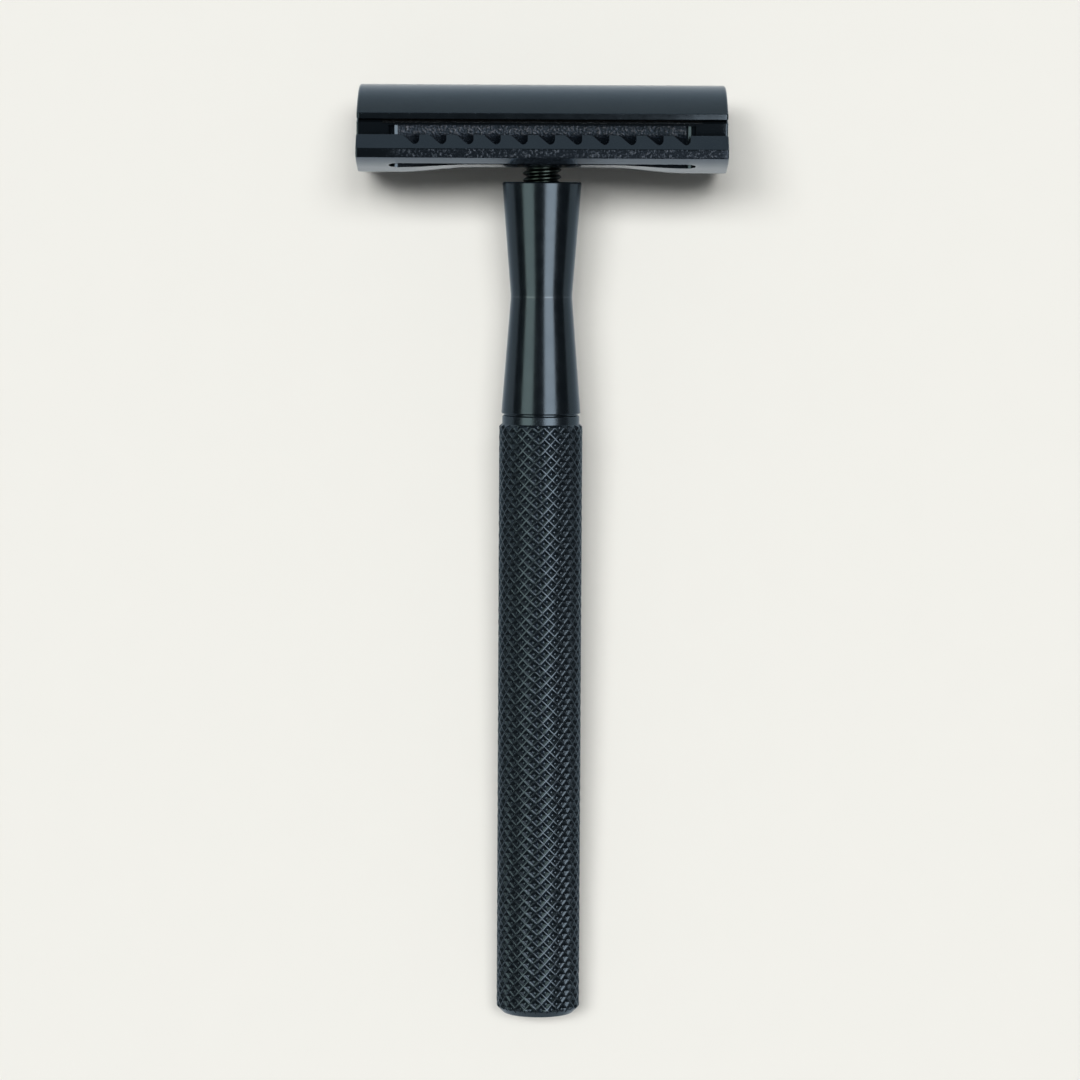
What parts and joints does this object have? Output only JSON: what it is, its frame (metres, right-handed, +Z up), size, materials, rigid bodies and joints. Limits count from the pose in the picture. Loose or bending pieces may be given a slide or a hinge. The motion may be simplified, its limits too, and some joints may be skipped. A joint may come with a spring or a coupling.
{
  "type": "safety razor",
  "caption": "Double-edge safety razor with a curved cap, slotted guard plate, clamped blade, waisted neck and knurled grip; the head unscrews from the handle.",
  "frame": {"origin": "on the table, under the middle of the razor's box, with the razor lying on its lower guard bar and the end of its grip", "axes": "+Y along the handle towards the head, tilted up by 4.5 degrees with the razor at rest; +X along the head; +Z up from the table"},
  "size_m": [0.0432, 0.1112, 0.026],
  "materials": {
    "cap_coating": "satin black coating",
    "plate_coating": "satin black coating over a cast surface",
    "neck_coating": "satin black coating over a turned surface",
    "grip_coating": "satin black coating over a diamond knurl",
    "plug_coating": "satin black coating over a turned face",
    "blackened_steel": "blackened, machined",
    "blade_steel": "polished with ground edges",
    "bush_brass": "machined"
  },
  "bodies": {
    "handle": {"handle_neck": "neck_coating", "thread_bush": "bush_brass", "knurled_grip": "grip_coating", "handle_end_plug": "plug_coating"},
    "base_plate": {"base_plate": "plate_coating"},
    "blade": {"double_edge_blade": "blade_steel"},
    "cap": {"top_cap": "cap_coating", "threaded_stud": "blackened_steel", "guide_post_left": "blackened_steel", "guide_post_right": "blackened_steel"}
  },
  "joints": [
    {"name": "head_turn", "type": "hinge", "parent": "handle", "child": "base_plate", "pos_m": [0, 0.0441, 0.01275], "axis": [0, 0.9969, 0.0788], "range_deg": [0, 2880]},
    {"name": "cap_rise", "type": "slide", "parent": "base_plate", "child": "cap", "axis": [0, 0.9969, 0.0788], "range_m": [0, 0.0064]},
    {"name": "blade_lift", "type": "slide", "parent": "base_plate", "child": "blade", "axis": [0, 0.9969, 0.0788], "range_m": [0, 0.0032]}
  ],
  "couplings": [
    {"joint": "cap_rise", "follows": "head_turn", "m_per_rad": 0.00012732},
    {"joint": "blade_lift", "follows": "head_turn", "m_per_rad": 0.000063662}
  ]
}
